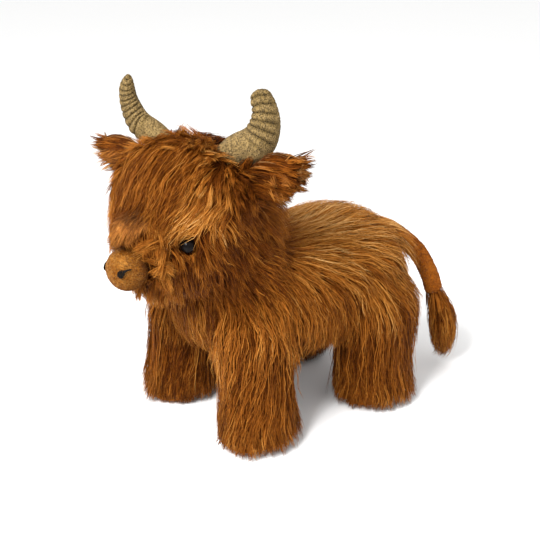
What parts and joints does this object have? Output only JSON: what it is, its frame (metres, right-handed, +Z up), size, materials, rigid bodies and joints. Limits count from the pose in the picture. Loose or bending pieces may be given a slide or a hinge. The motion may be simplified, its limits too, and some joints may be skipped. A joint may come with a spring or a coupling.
{
  "type": "plush highland cow toy",
  "caption": "Standing stuffed highland cow toy with a long shaggy coat, ribbed cream horns, a short-pile muzzle and a tufted tail.",
  "frame": {"origin": "middle of the toy's outline seen from above, on the floor that the four soles stand on", "axes": "+Z up; the toy faces -Y, so +Y runs along its length towards the tail; +X is the toy's own left side"},
  "size_m": [0.2052, 0.3308, 0.2715],
  "materials": {
    "long_fur": "long wavy faux fur, soft sheen",
    "short_pile": "short dense plush, matt",
    "horn_chenille": "ribbed stuffed chenille, matt",
    "eye_gloss": "polished black safety eye",
    "nostril_thread": "black satin-stitch thread"
  },
  "bodies": {
    "root": {"head": "long_fur", "neck": "long_fur", "trunk": "long_fur", "tail_tuft": "long_fur", "ear_left": "long_fur", "ear_right": "long_fur", "leg_front_left": "long_fur", "leg_front_right": "long_fur", "leg_hind_left": "long_fur", "leg_hind_right": "long_fur", "muzzle": "short_pile", "tail_stem": "short_pile", "sole_front_left": "short_pile", "sole_front_right": "short_pile", "sole_hind_left": "short_pile", "sole_hind_right": "short_pile", "horn_left": "horn_chenille", "eye_left": "eye_gloss", "nostril_left": "nostril_thread", "horn_right": "horn_chenille", "eye_right": "eye_gloss", "nostril_right": "nostril_thread"}
  },
  "joints": []
}
